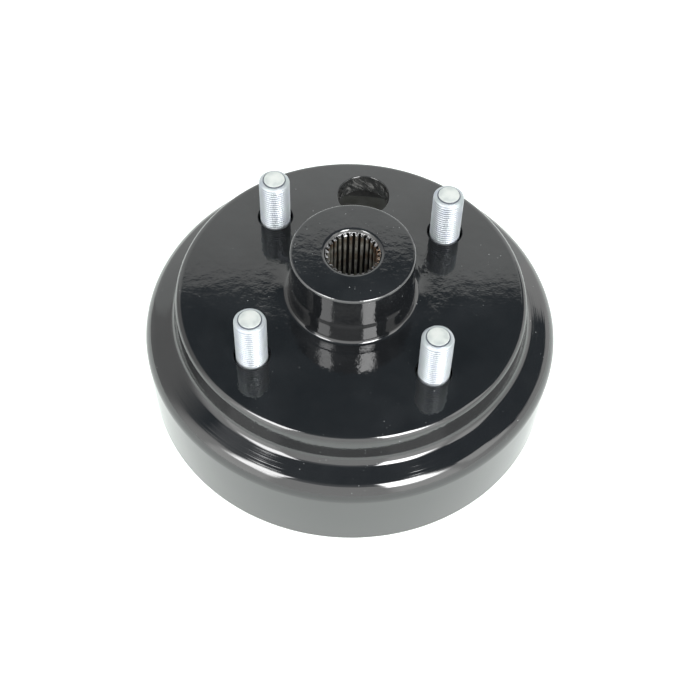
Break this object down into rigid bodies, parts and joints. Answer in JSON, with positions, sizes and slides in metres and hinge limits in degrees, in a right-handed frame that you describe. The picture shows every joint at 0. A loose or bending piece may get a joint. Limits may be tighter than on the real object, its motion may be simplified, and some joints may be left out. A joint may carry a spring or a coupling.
{
  "type": "brake drum with splined hub",
  "caption": "Black cast brake drum whose stepped wheel flange carries pressed-in threaded wheel studs, an access hole and a central hub with an internal spline for an axle.",
  "frame": {"origin": "centre of the drum's open rim, on the plane the rim rests on", "axes": "+Z along the axle axis, from the open rim towards the wheel face and the hub's end; +Y through the access hole, midway between two studs; +X to the right with +Y to the back"},
  "size_m": [0.171, 0.171, 0.079],
  "materials": {
    "gloss_black_casting": "thick gloss black paint over cast iron, with a light orange-peel texture",
    "zinc_studs": "bright zinc-plated steel with a fine thread"
  },
  "bodies": {
    "root": {"brake_drum_hub": "gloss_black_casting", "wheel_stud_1": "zinc_studs", "wheel_stud_2": "zinc_studs", "wheel_stud_3": "zinc_studs", "wheel_stud_4": "zinc_studs"}
  },
  "joints": []
}
